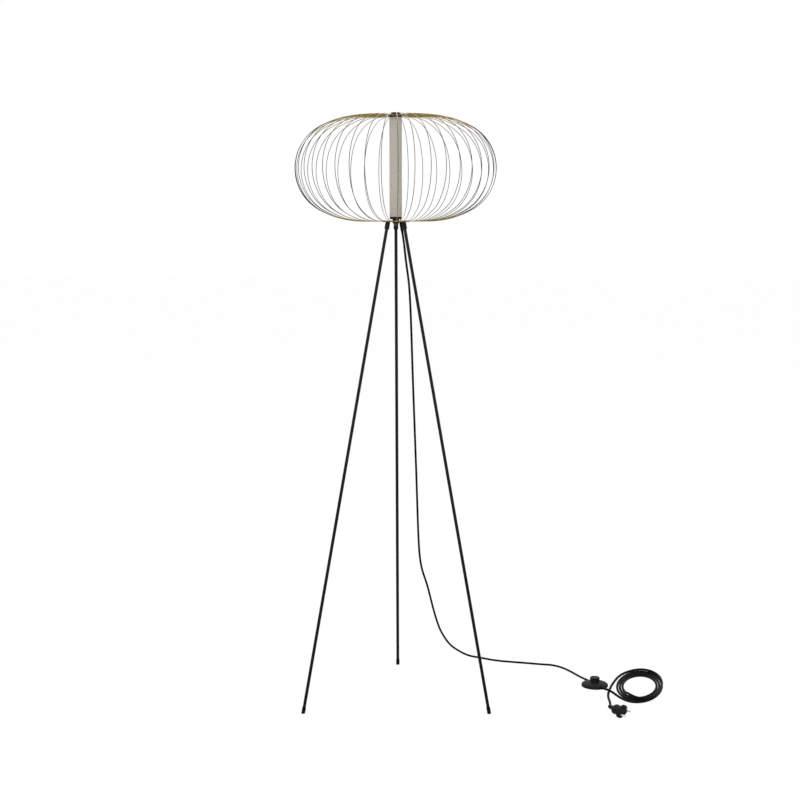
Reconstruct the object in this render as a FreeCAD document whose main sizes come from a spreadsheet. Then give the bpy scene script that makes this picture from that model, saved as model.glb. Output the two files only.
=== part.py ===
"""Wire cage floor lamp: a tripod, a lit tube in a cage of brass wires, a cord, a foot switch and a plug.

Millimetres, +Z up. The origin is the centre of the footprint on the floor. The tube's axis
stands lamp_axis_back behind it, because the back foot reaches further than the cage.
"""
import FreeCAD, Part
import Sketcher
import math
import os

Vector = FreeCAD.Vector
Rotation = FreeCAD.Rotation
UP = Vector(0, 0, 1)

os.makedirs("parts", exist_ok=True)
doc = FreeCAD.newDocument("WireCageFloorLamp")

# ---------------------------------------------------------------- driving sizes
SIZES = {
    "lamp_axis_back": -12.0,
    "lamp_height": 1502.5,
    # cage of wires
    "wire_count": 40,
    "wire_radius": 0.75,
    "cage_radius": 252.0,
    "cage_outer_arc": 117.0,
    "cage_outer_arc_deg": 61.3,
    "cage_top_height": 1495.0,
    "cage_bottom_height": 1233.5,
    "first_wire_deg": 2.0,
    "wire_seat_depth": 3.0,
    "wire_seat_radius": 0.8,
    # plates that hold the wires
    "top_plate_radius": 27.0,
    "top_plate_thick": 3.0,
    "bottom_plate_radius": 33.5,
    "bottom_plate_thick": 4.0,
    "cap_radius": 12.3,
    "cap_edge": 1.2,
    "boss_radius": 8.5,
    "boss_low": 1228.0,
    "boss_above_plate": 3.0,
    "rod_radius": 3.0,
    "rod_play": 0.1,
    "rod_nut_corner_radius": 5.7,
    "rod_nut_height": 5.0,
    # lit tube
    "tube_radius": 15.75,
    "tube_wall": 2.0,
    "tube_base_height": 6.0,
    "tube_lid_height": 2.6,
    "spigot_play": 0.15,
    "spigot_length": 7.0,
    "core_corner_radius": 9.6,
    "core_bore_radius": 3.6,
    "board_width": 8.0,
    "board_thick": 1.2,
    "chip_width": 3.0,
    "chip_thick": 0.8,
    "chips_per_board": 15,
    "driver_board_radius": 12.6,
    "driver_board_bore": 5.0,
    "driver_board_thick": 1.6,
    "driver_part_height": 6.0,
    "lead_radius": 0.9,
    # tripod
    "foot_circle_radius": 271.3,
    "leg_top_radius": 22.7,
    "leg_rod_radius": 4.0,
    "collar_radius": 6.0,
    "collar_length": 19.0,
    "collar_step": 12.0,
    "stud_radius": 3.0,
    "thread_play": 0.05,
    "tip_radius": 4.8,
    "tip_length": 16.0,
    "tip_bore_depth": 12.0,
    # cord and its gland
    "cord_radius": 2.8,
    "mains_cord_radius": 3.2,
    "gland_x": 12.9,
    "gland_y": 3.0,
    "gland_flange_radius": 4.0,
    "gland_flange_height": 6.0,
    "gland_neck_radius": 3.5,
    "relief_radius": 3.9,
    "relief_tip_radius": 3.1,
    "mains_relief_tip_radius": 3.45,
    "gland_relief_length": 20.0,
    # foot switch
    "switch_x": 528.0,
    "switch_y": 81.6,
    "switch_radius": 35.25,
    "switch_floor_gap": 1.2,
    "switch_base_thick": 2.0,
    "switch_rim_height": 7.0,
    "switch_dome_height": 14.0,
    "switch_wall": 2.0,
    "switch_cord_height": 4.8,
    "switch_relief_length": 21.0,
    "switch_relief_out": 14.0,
    "button_radius": 12.65,
    "button_play": 0.35,
    "button_top": 24.8,
    "button_travel": 3.5,
    "button_stem_radius": 3.2,
    "spring_radius": 8.6,
    "spring_wire_radius": 0.5,
    "spring_turns": 5,
    "switch_screw_ring": 26.0,
    "switch_screw_radius": 1.5,
    "switch_post_radius": 3.2,
    "switch_pad_radius": 5.0,
    # coil of cord
    "coil_x": 644.5,
    "coil_y": 73.0,
    "coil_lean_deg": 13.5,
    "coil_half_width": 62.8,
    "coil_half_length": 135.6,
    "coil_width_step": 6.9,
    "coil_length_step": 17.0,
    "coil_turns": 3.69,
    "coil_first_deg": 235.0,
    "coil_layer_rise": 6.9,
    # plug
    "plug_x": 556.0,
    "plug_y": -152.0,
    "plug_height": 15.8,
    "plug_heading_deg": -54.7,
    "plug_roll_deg": 28.0,
    "plug_length": 36.0,
    "flange_width": 37.0,
    "flange_thick": 26.0,
    "flange_length": 7.0,
    "relief_tail_x": 547.0,
    "relief_tail_y": -84.0,
    "relief_tail_z": 5.0,
    "plug_relief_radius": 5.6,
    "pin_spacing": 19.0,
    "pin_radius": 2.4,
    "pin_length": 18.5,
    "pin_neck_radius": 1.9,
    "pin_neck_length": 0.5,
}
sheet = doc.addObject("Spreadsheet::Sheet", "Sizes")
for row, (alias, number) in enumerate(SIZES.items(), start=1):
    sheet.set("A%d" % row, alias)
    sheet.set("B%d" % row, repr(number))
    sheet.setAlias("B%d" % row, alias)
doc.recompute()


class Term:
    """A size that is worked out from the sheet: its formula for setExpression, and its number."""

    def __init__(self, text, number):
        self.text = text
        self.number = number

    def joined(self, sign, other, number):
        return Term("(%s %s %s)" % (self.text, sign, as_term(other).text), number)

    def __add__(self, other):
        return self.joined("+", other, self.number + as_term(other).number)

    def __sub__(self, other):
        return self.joined("-", other, self.number - as_term(other).number)

    def __mul__(self, other):
        return self.joined("*", other, self.number * as_term(other).number)

    def __truediv__(self, other):
        return self.joined("/", other, self.number / as_term(other).number)


def as_term(value):
    return value if isinstance(value, Term) else Term(repr(float(value)), float(value))


def size(alias):
    return Term("Sizes." + alias, float(sheet.get(alias)))


def number(alias):
    return float(sheet.get(alias))


# levels along the tube's axis, each worked out from the sheet
plate_mid = size("cage_bottom_height")
plate_low = plate_mid - size("bottom_plate_thick") / 2
plate_high = plate_mid + size("bottom_plate_thick") / 2
base_low = plate_high + size("boss_above_plate")
tube_low = base_low + size("tube_base_height")
lid_plate_low = size("cage_top_height") - size("top_plate_thick") / 2
lid_plate_high = size("cage_top_height") + size("top_plate_thick") / 2
tube_high = lid_plate_low - size("tube_lid_height")
spigot_radius = size("tube_radius") - size("tube_wall") - size("spigot_play")
rod_hole = size("rod_radius") + size("rod_play")
driver_low = tube_low + size("spigot_length") + 1.0
core_low = driver_low + size("driver_board_thick") + size("driver_part_height") + 1.0
core_high = tube_high - size("spigot_length") - 1.0

AXIS = Vector(0, number("lamp_axis_back"), 0)
pieces = []


def keep(item, label):
    """Names a finished sub-part and puts it on the list of files to write."""
    item.Label = label
    pieces.append(item)
    return item


def bind(item, **terms):
    for name, term in terms.items():
        item.setExpression(name, as_term(term).text)


def placed(item, base, rotation=None):
    item.Placement = FreeCAD.Placement(base, rotation or Rotation())
    return item


def new_body(name):
    body = doc.addObject("PartDesign::Body", name)
    planes = {item.Role: item for item in body.Origin.OriginFeatures}
    return body, planes


def polygon_sketch(body, plane, name, corners):
    """A closed outline whose corners are each tied to the sketch's origin by sheet formulas."""
    sketch = body.newObject("Sketcher::SketchObject", name)
    sketch.AttachmentSupport = [(plane, "")]
    sketch.MapMode = "FlatFace"
    spots = [Vector(as_term(a).number, as_term(b).number, 0) for a, b in corners]
    for index, spot in enumerate(spots):
        sketch.addGeometry(Part.LineSegment(spot, spots[(index + 1) % len(spots)]), False)
    for index in range(len(spots)):
        sketch.addConstraint(
            Sketcher.Constraint("Coincident", index, 2, (index + 1) % len(spots), 1))
    for index, (across, along) in enumerate(corners):
        for kind, value, axis in (("DistanceX", across, -2), ("DistanceY", along, -1)):
            term = as_term(value)
            if abs(term.number) < 1e-9:
                sketch.addConstraint(Sketcher.Constraint("PointOnObject", index, 1, axis))
                continue
            row = sketch.addConstraint(
                Sketcher.Constraint(kind, -1, 1, index, 1, term.number))
            sketch.setExpression("Constraints[%d]" % row, term.text)
    return sketch


def turned(name, corners):
    """A body turned about Z from an outline of (radius, height) corners."""
    body, planes = new_body(name)
    sketch = polygon_sketch(body, planes["XZ_Plane"], name + "_outline", corners)
    turn = body.newObject("PartDesign::Revolution", name + "_turn")
    turn.Profile = sketch
    turn.ReferenceAxis = (sketch, ["V_Axis"])
    turn.Angle = 360.0
    body.Tip = turn
    doc.recompute()
    return body


def padded(name, corners, length, plane="XY_Plane", midplane=True):
    """A body extruded from a flat outline of (x, y) corners."""
    body, planes = new_body(name)
    sketch = polygon_sketch(body, planes[plane], name + "_outline", corners)
    pad = body.newObject("PartDesign::Pad", name + "_pad")
    pad.Profile = sketch
    pad.SideType = "Symmetric" if midplane else "One side"
    bind(pad, Length=length)
    body.Tip = pad
    doc.recompute()
    return body


def rounded(body, radius, wanted):
    """Rounds the edges of a body's last feature that wanted(edge) picks."""
    last = body.Tip
    names = ["Edge%d" % (n + 1) for n, edge in enumerate(last.Shape.Edges) if wanted(edge)]
    fillet = body.newObject("PartDesign::Fillet", body.Name + "_round")
    fillet.Base = (last, names)
    bind(fillet, Radius=radius)
    body.Tip = fillet
    doc.recompute()
    return body


def circle_at(radius, height):
    """A test that picks the round edge at a radius and a height."""
    def wanted(edge):
        curve = edge.Curve
        return (isinstance(curve, Part.Circle) and abs(curve.Radius - as_term(radius).number) < 1e-3
                and abs(curve.Center.z - as_term(height).number) < 1e-3)
    return wanted


def cylinder(name, radius, height):
    item = doc.addObject("Part::Cylinder", name)
    bind(item, Radius=radius, Height=height)
    return item


def block(name, length, width, height):
    item = doc.addObject("Part::Box", name)
    bind(item, Length=length, Width=width, Height=height)
    return item


def combined(kind, name, base, tool):
    item = doc.addObject("Part::" + kind, name)
    item.Base = base
    item.Tool = tool
    return item


def cut(name, base, tool):
    return combined("Cut", name, base, tool)


def fused(name, items):
    item = doc.addObject("Part::MultiFuse", name)
    item.Shapes = items
    return item


def grouped(name, items):
    item = doc.addObject("Part::Compound", name)
    item.Links = items
    return item


def shaped(name, shape):
    """A sub-part whose shape comes from wires and pipes."""
    item = doc.addObject("Part::Feature", name)
    item.Shape = shape
    return item


# ---------------------------------------------------------------- wires and pipes
def arc_from(start, heading, end):
    """The arc that leaves start along heading and reaches end, as one edge."""
    chord = end - start
    side = chord - heading * chord.dot(heading)
    if side.Length < 1e-6 * chord.Length:
        return Part.LineSegment(start, end).toShape()
    side.normalize()
    radius = chord.dot(chord) / (2 * chord.dot(side))
    half = heading.getAngle(chord)
    centre = start + side * radius
    middle = centre + (heading * math.sin(half) - side * math.cos(half)) * radius
    return Part.Arc(start, middle, end).toShape()


def biarc(start, start_heading, end, end_heading):
    """Two tangent arcs from one point and heading to another."""
    chord = end - start
    square = 2 * (1 - start_heading.dot(end_heading))
    slope = 2 * chord.dot(start_heading + end_heading)
    if square < 1e-9:
        reach = chord.dot(chord) / slope
    else:
        root = math.sqrt(slope * slope + 4 * square * chord.dot(chord))
        reach = (root - slope) / (2 * square)
    joint = (start + end + (start_heading - end_heading) * reach) * 0.5
    heading = joint - start - start_heading * reach
    heading.normalize()
    return [arc_from(start, start_heading, joint), arc_from(joint, heading, end)]


def pipe(edges, heading, radius):
    """A round solid along tangent edges, with its volume held against section times length."""
    path = Part.Wire(edges)
    start = edges[0].valueAt(edges[0].FirstParameter)
    ring = Part.Wire([Part.makeCircle(radius, start, heading)])
    solid = path.makePipeShell([ring], True, False)
    expected = math.pi * radius * radius * path.Length
    if abs(solid.Volume - expected) > 0.02 * expected:
        raise RuntimeError("pipe volume %.0f, expected %.0f" % (solid.Volume, expected))
    return solid, path.Length


def rounded_route(points):
    """Straight runs joined by tangent arcs, as large as the runs on both sides allow."""
    edges, radii = [], []
    here = points[0]
    for before, corner, after in zip(points, points[1:], points[2:]):
        back, onward = (before - corner), (after - corner)
        run = min(back.Length, onward.Length)
        half_turn = (math.pi - back.getAngle(onward)) / 2
        reach = 0.45 * run
        radii.append(reach / math.tan(half_turn))
        back.normalize()
        onward.normalize()
        enter, leave = corner + back * reach, corner + onward * reach
        edges.append(Part.LineSegment(here, enter).toShape())
        edges.append(arc_from(enter, back * -1, leave))
        here = leave
    edges.append(Part.LineSegment(here, points[-1]).toShape())
    return edges, radii


def cord_stretch(name, points, radius):
    heading = points[1] - points[0]
    heading.normalize()
    edges, radii = rounded_route(points)
    solid, length = pipe(edges, heading, radius)
    print("%s: %.0f mm long, radii %s" % (name, length, [round(r) for r in radii]))
    return placed(shaped(name, solid), AXIS)


def smooth_step(share):
    share = min(max(share, 0.0), 1.0)
    return share * share * (3 - 2 * share)


def biarc_route(route, stops):
    """Tangent biarcs through route(t) at the given stops, with headings read from the route."""
    small = 1e-4
    spots = [route(t) for t in stops]
    headings = []
    for t in stops:
        heading = route(t + small) - route(t - small)
        heading.normalize()
        headings.append(heading)
    edges = []
    for index in range(len(stops) - 1):
        edges += biarc(spots[index], headings[index], spots[index + 1], headings[index + 1])
    return edges, headings[0]


def least_gap(edges, radius, apart):
    """The smallest clearance between stretches of a pipe that lie further apart along it."""
    path = Part.Wire(edges)
    step = radius
    marks = path.discretize(Number=int(path.Length / step))
    skip = int(apart / step)
    nearest = min(
        (a - b).Length for i, a in enumerate(marks) for b in marks[i + skip:]) if marks else 0
    return nearest - 2 * radius


# ---------------------------------------------------------------- the cage
def radial(azimuth_deg, radius, height):
    """A point round the tube's axis; azimuth 0 is the front, positive to the right."""
    turn = math.radians(azimuth_deg)
    return Vector(radius * math.sin(turn), -radius * math.cos(turn), height)


def cage_wire():
    """One wire in the plane of azimuth 0: straight out of the lower rim, round and back."""
    low, high = number("cage_bottom_height"), number("cage_top_height")
    half, middle = (high - low) / 2, (high + low) / 2
    bend = math.radians(number("cage_outer_arc_deg"))
    outer = number("cage_outer_arc")
    inner = (half - outer * math.sin(bend)) / (1 - math.sin(bend))
    outer_centre = number("cage_radius") - outer
    inner_centre = outer_centre + (outer - inner) * math.cos(bend)
    lift = (outer - inner) * math.sin(bend)

    def on_outer(angle):
        return radial(0, outer_centre + outer * math.cos(angle), middle + outer * math.sin(angle))

    def on_inner(angle, side):
        return radial(0, inner_centre + inner * math.cos(angle),
                      middle + side * (lift + inner * math.sin(angle)))

    seat = number("wire_seat_depth")
    start = radial(0, number("bottom_plate_radius") - seat, low)
    end = radial(0, number("top_plate_radius") - seat, high)
    flat, between = math.pi / 2, (bend + math.pi / 2) / 2
    edges = [
        Part.LineSegment(start, on_inner(flat, -1)).toShape(),
        Part.Arc(on_inner(flat, -1), on_inner(between, -1), on_inner(bend, -1)).toShape(),
        Part.Arc(on_outer(-bend), on_outer(0), on_outer(bend)).toShape(),
        Part.Arc(on_inner(bend, 1), on_inner(between, 1), on_inner(flat, 1)).toShape(),
        Part.LineSegment(on_inner(flat, 1), end).toShape(),
    ]
    return pipe(edges, Vector(0, -1, 0), number("wire_radius"))


WIRE_GROUPS = ("front", "front_right", "right", "back_right",
               "back", "back_left", "left", "front_left")


def make_cage():
    """The wires in groups of neighbours, named for the side that they face."""
    wire, length = cage_wire()
    count = int(number("wire_count"))
    step = 360.0 / count
    each = count // len(WIRE_GROUPS)
    print("cage wire: %.0f mm long" % length)
    for side, name in enumerate(WIRE_GROUPS):
        wires = []
        for index in range(each):
            azimuth = number("first_wire_deg") + step * (side * each + index - each // 2)
            turned_wire = wire.copy()
            turned_wire.rotate(Vector(0, 0, 0), UP, azimuth)
            wires.append(turned_wire)
        keep(placed(shaped("CageWires_" + name, Part.makeCompound(wires)), AXIS),
             "cage_wires_" + name)


def wire_seats(name, plate_radius, height):
    """Forty blind holes round a plate's rim, one for each wire."""
    seats = []
    count = int(number("wire_count"))
    for index in range(count):
        azimuth = number("first_wire_deg") + 360.0 * index / count
        seat = cylinder("%s_seat%d" % (name, index), size("wire_seat_radius"),
                        size("wire_seat_depth") + 1)
        inner = radial(azimuth, number(plate_radius) - number("wire_seat_depth") - 0.05, height)
        placed(seat, inner, Rotation(UP, radial(azimuth, 1, 0)))
        seats.append(seat)
    return seats


# ---------------------------------------------------------------- the hub and plates
def leg_line(azimuth):
    """The top of a leg's axis under the lower plate, and its heading down to the floor."""
    top = radial(azimuth, number("leg_top_radius"), plate_low.number)
    foot = radial(azimuth, number("foot_circle_radius"), 0)
    heading = foot - top
    length = heading.Length
    heading.normalize()
    return top, heading, length


LEGS = {"left": -60.0, "right": 60.0, "back": 180.0}


def make_plates():
    disc = turned("TopPlateDisc", [
        (rod_hole, lid_plate_low), (size("top_plate_radius"), lid_plate_low),
        (size("top_plate_radius"), lid_plate_high), (rod_hole, lid_plate_high)])
    seats = fused("TopSeats", wire_seats("top", "top_plate_radius", number("cage_top_height")))
    keep(placed(cut("TopPlate", disc, seats), AXIS), "top_wire_plate")

    boss_hole = size("boss_radius") + size("thread_play")
    disc = turned("BottomPlateDisc", [
        (boss_hole, plate_low), (size("bottom_plate_radius"), plate_low),
        (size("bottom_plate_radius"), plate_high), (boss_hole, plate_high)])
    tools = wire_seats("bottom", "bottom_plate_radius", number("cage_bottom_height"))
    for name, azimuth in LEGS.items():
        top, heading, _ = leg_line(azimuth)
        hole = cylinder("StudHole_" + name, size("stud_radius") + size("thread_play"),
                        size("bottom_plate_thick") * 3)
        tools.append(placed(hole, top + heading * 3, Rotation(UP, heading * -1)))
    gland_hole = cylinder("GlandHole", size("gland_neck_radius") + 0.05,
                          size("bottom_plate_thick") + 2)
    tools.append(placed(gland_hole, gland_spot(plate_low.number - 1)))
    keep(placed(cut("BottomPlate", disc, fused("BottomHoles", tools)), AXIS),
         "bottom_wire_plate")


def make_cap():
    """The turned cap nut on top, with a blind thread for the tie rod."""
    top = size("lamp_height")
    body = turned("Cap", [
        (rod_hole, lid_plate_high), (size("cap_radius"), lid_plate_high),
        (size("cap_radius"), top), (0, top), (0, top - 1.5), (rod_hole, top - 1.5)])
    rounded(body, size("cap_edge"), circle_at(size("cap_radius"), top))
    keep(placed(body, AXIS), "top_cap_nut")


def make_hub_stack():
    """The boss through the lower plate, the tie rod through it all, and the nut under it."""
    low, radius = size("boss_low"), size("boss_radius")
    body = turned("Boss", [
        (rod_hole, low), (radius - 1, low), (radius, low + 1), (radius, base_low),
        (rod_hole, base_low)])
    keep(placed(body, AXIS), "hub_boss")

    nut_low = low - size("rod_nut_height")
    rod_top = size("lamp_height") - 2.0
    rod = cylinder("TieRod", size("rod_radius"), rod_top - nut_low + 0.6)
    keep(placed(rod, AXIS + UP * (nut_low.number - 0.6)), "tie_rod")

    prism = doc.addObject("Part::Prism", "NutPrism")
    prism.Polygon = 6
    bind(prism, Circumradius=size("rod_nut_corner_radius"), Height=size("rod_nut_height"))
    hole = cylinder("NutHole", rod_hole, size("rod_nut_height") + 2)
    placed(hole, Vector(0, 0, -1))
    keep(placed(cut("RodNut", prism, hole), AXIS + UP * nut_low.number), "rod_nut")


# ---------------------------------------------------------------- the lit tube
def lead_line():
    """The slanted way of the two leads, from the gland's top to the driver board."""
    start = gland_spot(plate_high.number + 0.4)
    out = Vector(number("gland_x"), number("gland_y"), 0)
    out.normalize()
    end = out * 9.0 + UP * driver_low.number
    heading = end - start
    length = heading.Length
    heading.normalize()
    return start, heading, length


def make_tube():
    outer, wall = size("tube_radius"), size("tube_wall")
    body = turned("Tube", [
        (outer - wall, tube_low), (outer, tube_low), (outer, tube_high), (outer - wall, tube_high)])
    keep(placed(body, AXIS), "diffuser_tube")

    spigot_high = tube_low + size("spigot_length")
    inner = spigot_radius - 2.2
    base = turned("TubeBaseBody", [
        (rod_hole, base_low), (outer - 0.5, base_low), (outer - 0.5, tube_low),
        (spigot_radius, tube_low), (spigot_radius, spigot_high), (inner, spigot_high),
        (inner, tube_low - 2.5), (rod_hole, tube_low - 2.5)])
    start, heading, length = lead_line()
    slot = cylinder("LeadSlot", size("lead_radius") * 2.6, as_term(length))
    placed(slot, start, Rotation(UP, heading))
    keep(placed(cut("TubeBase", base, slot), AXIS), "tube_base_cap")

    spigot_low = tube_high - size("spigot_length")
    lid = turned("TubeLid", [
        (rod_hole, lid_plate_low), (outer, lid_plate_low), (outer, tube_high),
        (spigot_radius, tube_high), (spigot_radius, spigot_low), (inner, spigot_low),
        (inner, tube_high - 1), (rod_hole, tube_high - 1)])
    keep(placed(lid, AXIS), "tube_lid")

    screw = cylinder("LidScrew", 1.2, 2.4)
    spot = radial(-92, number("tube_radius"), tube_high.number + number("tube_lid_height") / 2)
    keep(placed(screw, AXIS + spot, Rotation(UP, radial(-92, 1, 0))), "lid_grub_screw")


def make_lights():
    """Hexagonal heat sink, three boards on its flats and their rows of light chips."""
    prism = doc.addObject("Part::Prism", "CorePrism")
    prism.Polygon = 6
    bind(prism, Circumradius=size("core_corner_radius"), Height=core_high - core_low)
    bore = cylinder("CoreBore", size("core_bore_radius"), core_high - core_low + 2)
    placed(bore, Vector(0, 0, -1))
    keep(placed(cut("Core", prism, bore), AXIS + UP * core_low.number), "heat_sink_core")

    flat = number("core_corner_radius") * math.cos(math.radians(30))
    boards, chips = [], []
    board_length = core_high - core_low - 6
    count = int(number("chips_per_board"))
    for side in range(3):
        turn = Rotation(UP, 30 + 120 * side)
        board = block("Board%d" % side, size("board_thick"), size("board_width"), board_length)
        corner = Vector(flat, -number("board_width") / 2, core_low.number + 3)
        boards.append(placed(board, turn.multVec(corner), turn))
        for index in range(count):
            chip = block("Chip%d_%d" % (side, index), size("chip_thick"), size("chip_width"),
                         size("chip_width"))
            corner = Vector(flat + number("board_thick"), -number("chip_width") / 2,
                            core_low.number + 10 + index * (board_length.number - 17) / (count - 1))
            chips.append(placed(chip, turn.multVec(corner), turn))
    keep(placed(grouped("Boards", boards), AXIS), "led_boards")
    keep(placed(grouped("Chips", chips), AXIS), "led_chips")


def make_driver():
    """The driver: a ring-shaped board on the tube's base, its parts, and two leads from the gland."""
    low, high = driver_low, driver_low + size("driver_board_thick")
    body = turned("DriverBoard", [
        (size("driver_board_bore"), low), (size("driver_board_radius"), low),
        (size("driver_board_radius"), high), (size("driver_board_bore"), high)])
    keep(placed(body, AXIS), "driver_board")

    parts = []
    for index, azimuth in enumerate((20, 110, 200, 290)):
        tall = cylinder("DriverPart%d" % index, 2.6 - 0.3 * (index % 2),
                        size("driver_part_height") - 1.5 * (index % 2))
        parts.append(placed(tall, radial(azimuth, 9.2, high.number)))
    keep(placed(grouped("DriverParts", parts), AXIS), "driver_components")

    start, heading, length = lead_line()
    sideways = heading.cross(UP)
    sideways.normalize()
    leads = []
    for index, shift in enumerate((-1.0, 1.0)):
        lead = cylinder("Lead%d" % index, size("lead_radius"), as_term(length - 0.6))
        leads.append(placed(lead, start + sideways * shift, Rotation(UP, heading)))
    keep(placed(grouped("Leads", leads), AXIS), "inner_leads")


# ---------------------------------------------------------------- the tripod
def make_legs():
    """Each leg: a stud in the plate, a collar on it, the rod in the collar and a rubber tip."""
    for name, azimuth in LEGS.items():
        top, heading, length = leg_line(azimuth)
        turn = Rotation(UP, heading)

        stud = cylinder("Stud_" + name, size("stud_radius"), size("collar_step") + 2)
        start = top - heading * (number("bottom_plate_thick") - 0.8)
        keep(placed(stud, AXIS + start, turn), "leg_stud_" + name)

        step, end = size("collar_step") + 1, size("collar_length") + 1
        stud_hole = size("stud_radius") + size("thread_play")
        rod_seat = size("leg_rod_radius") + size("thread_play")
        collar = turned("CollarBody_" + name, [
            (stud_hole, 0), (size("collar_radius"), 0), (size("collar_radius"), end),
            (rod_seat, end), (rod_seat, step), (stud_hole, step)])
        placed(collar, top - heading * 2, turn)
        lid = block("CollarTrim_" + name, 60, 60, 20)
        placed(lid, top + Vector(-30, -30, 0))
        keep(placed(cut("Collar_" + name, collar, lid), AXIS), "leg_collar_" + name)

        rod_start = number("collar_step") - 1 + 0.2
        rod_end = length - number("tip_length") + number("tip_bore_depth")
        rod = cylinder("Rod_" + name, size("leg_rod_radius"), as_term(rod_end - rod_start))
        keep(placed(rod, AXIS + top + heading * rod_start, turn), "leg_rod_" + name)

        bore = size("leg_rod_radius") + size("thread_play")
        depth = size("tip_bore_depth") + 0.2
        full = size("tip_length") + 4
        tip = turned("TipBody_" + name, [
            (bore, 0), (size("tip_radius"), 0), (size("tip_radius"), full), (0, full),
            (0, depth), (bore, depth)])
        placed(tip, top + heading * (length - number("tip_length")), turn)
        floor = block("TipTrim_" + name, 60, 60, 20)
        foot = radial(azimuth, number("foot_circle_radius"), -20)
        placed(floor, foot + Vector(-30, -30, 0))
        keep(placed(cut("Tip_" + name, tip, floor), AXIS), "foot_tip_" + name)


# ---------------------------------------------------------------- the cord's gland
def gland_spot(height):
    return Vector(number("gland_x"), number("gland_y"), height)


GLAND_HEADING = Vector(0.163, 0.034, -0.986)
GLAND_HEADING.normalize()


def taper(name, length, tip_radius):
    """A strain relief: a tapered sleeve along Z, thick end at the origin."""
    item = doc.addObject("Part::Cone", name)
    bind(item, Radius1=size("relief_radius"), Radius2=tip_radius, Height=length)
    return item


def make_gland():
    flange_low = plate_low - size("gland_flange_height")
    body = turned("GlandBody", [
        (0, flange_low), (size("gland_flange_radius"), flange_low),
        (size("gland_flange_radius"), plate_low), (size("gland_neck_radius"), plate_low),
        (size("gland_neck_radius"), plate_high), (0, plate_high)])
    placed(body, gland_spot(0))
    sleeve = taper("GlandSleeve", size("gland_relief_length") + 1, size("relief_tip_radius"))
    placed(sleeve, gland_spot(flange_low.number + 1), Rotation(UP, GLAND_HEADING))
    keep(placed(fused("Gland", [body, sleeve]), AXIS), "cord_gland")
    return gland_spot(flange_low.number + 1) + GLAND_HEADING * (number("gland_relief_length") + 1)


# ---------------------------------------------------------------- the foot switch
SWITCH = Vector(number("switch_x"), number("switch_y"), 0)
IN_HEADING = Vector(0.42, -0.91, 0)
OUT_HEADING = Vector(0.40, -0.92, 0.15)
IN_HEADING.normalize()
OUT_HEADING.normalize()


def rim_point(outward, reach):
    """A point on the cord's line at the switch, reach beyond the rim's circle."""
    inside = number("switch_relief_length") - number("switch_relief_out")
    start = SWITCH + UP * number("switch_cord_height")
    start += Vector(outward.x, outward.y, 0) * (number("switch_radius") - inside)
    return start + outward * (inside + reach)


def make_switch():
    base_low_z = size("switch_floor_gap")
    base_high = base_low_z + size("switch_base_thick")
    wide = size("switch_radius")
    wall = size("switch_wall")
    hole = size("button_radius") + size("button_play")
    here = AXIS + SWITCH
    pin_radius, pin_high = 1.6, base_high + 6.5

    pads, screws, posts, post_holes, base_holes = [], [], [], [], []
    for index in range(3):
        spot = radial(40 + 120 * index, number("switch_screw_ring"), 0)
        pad = cylinder("Pad%d" % index, size("switch_pad_radius"), base_low_z)
        pads.append(placed(pad, radial(100 + 120 * index, number("switch_screw_ring"), 0)))
        screw = cylinder("Screw%d" % index, size("switch_screw_radius"), 7.0)
        screws.append(placed(screw, spot + UP * (base_low_z.number + 0.2)))
        post = cylinder("Post%d" % index, size("switch_post_radius"), 6.0)
        posts.append(placed(post, spot + UP * (base_high.number + 0.05)))
        post_hole = cylinder("PostHole%d" % index, size("switch_screw_radius") + 0.05, 5.4)
        post_holes.append(placed(post_hole, spot + UP * (base_high.number - 0.1)))
        base_hole = cylinder("BaseHole%d" % index, size("switch_screw_radius") + 0.05, 4.0)
        base_holes.append(placed(base_hole, spot))
    keep(placed(grouped("Pads", pads), here), "switch_rubber_pads")
    keep(placed(grouped("Screws", screws), here), "switch_screws")

    disc = turned("SwitchBaseDisc", [
        (0, base_low_z), (wide - wall - 0.15, base_low_z), (wide - wall - 0.15, base_high),
        (pin_radius, base_high), (pin_radius, pin_high), (0, pin_high)])
    way_holes = []
    for name, heading in (("in", IN_HEADING * -1), ("out", OUT_HEADING)):
        way = cylinder("Way_" + name, size("relief_radius") + 0.05, 30)
        way_holes.append(placed(way, rim_point(heading, -9) - SWITCH, Rotation(UP, heading)))
    base_tools = fused("SwitchBaseHoles", base_holes + way_holes)
    keep(placed(cut("SwitchBase", disc, base_tools), here), "switch_base")

    rim, crown = size("switch_rim_height"), size("switch_dome_height")
    cover = turned("CoverShell", [
        (wide, base_low_z), (wide, rim - 1), (wide - 3, rim + 1.2), (hole + 9, crown - 1.6),
        (hole + 2.2, crown), (hole, crown), (hole, crown - wall), (hole + 7.5, crown - wall - 1.8),
        (wide - 4.5, rim - 0.6), (wide - wall, rim - 2), (wide - wall, base_low_z)])
    rounded(cover, 2.2, circle_at(wide, rim - 1))
    shell = fused("CoverWithPosts", [cover] + posts)
    way_tools = fused("CoverHoles", post_holes + [doc.copyObject(way) for way in way_holes])
    keep(placed(cut("Cover", shell, way_tools), here), "switch_cover")

    make_button(here, base_high, hole)
    make_contacts(here, base_high, pin_radius)
    for name, heading, tip in (("in", IN_HEADING * -1, "relief_tip_radius"),
                               ("out", OUT_HEADING, "mains_relief_tip_radius")):
        sleeve = taper("Relief_" + name, size("switch_relief_length"), size(tip))
        back = number("switch_relief_out") - number("switch_relief_length")
        spot = rim_point(heading, back)
        keep(placed(sleeve, AXIS + spot, Rotation(UP, heading)), "switch_relief_" + name)


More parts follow.
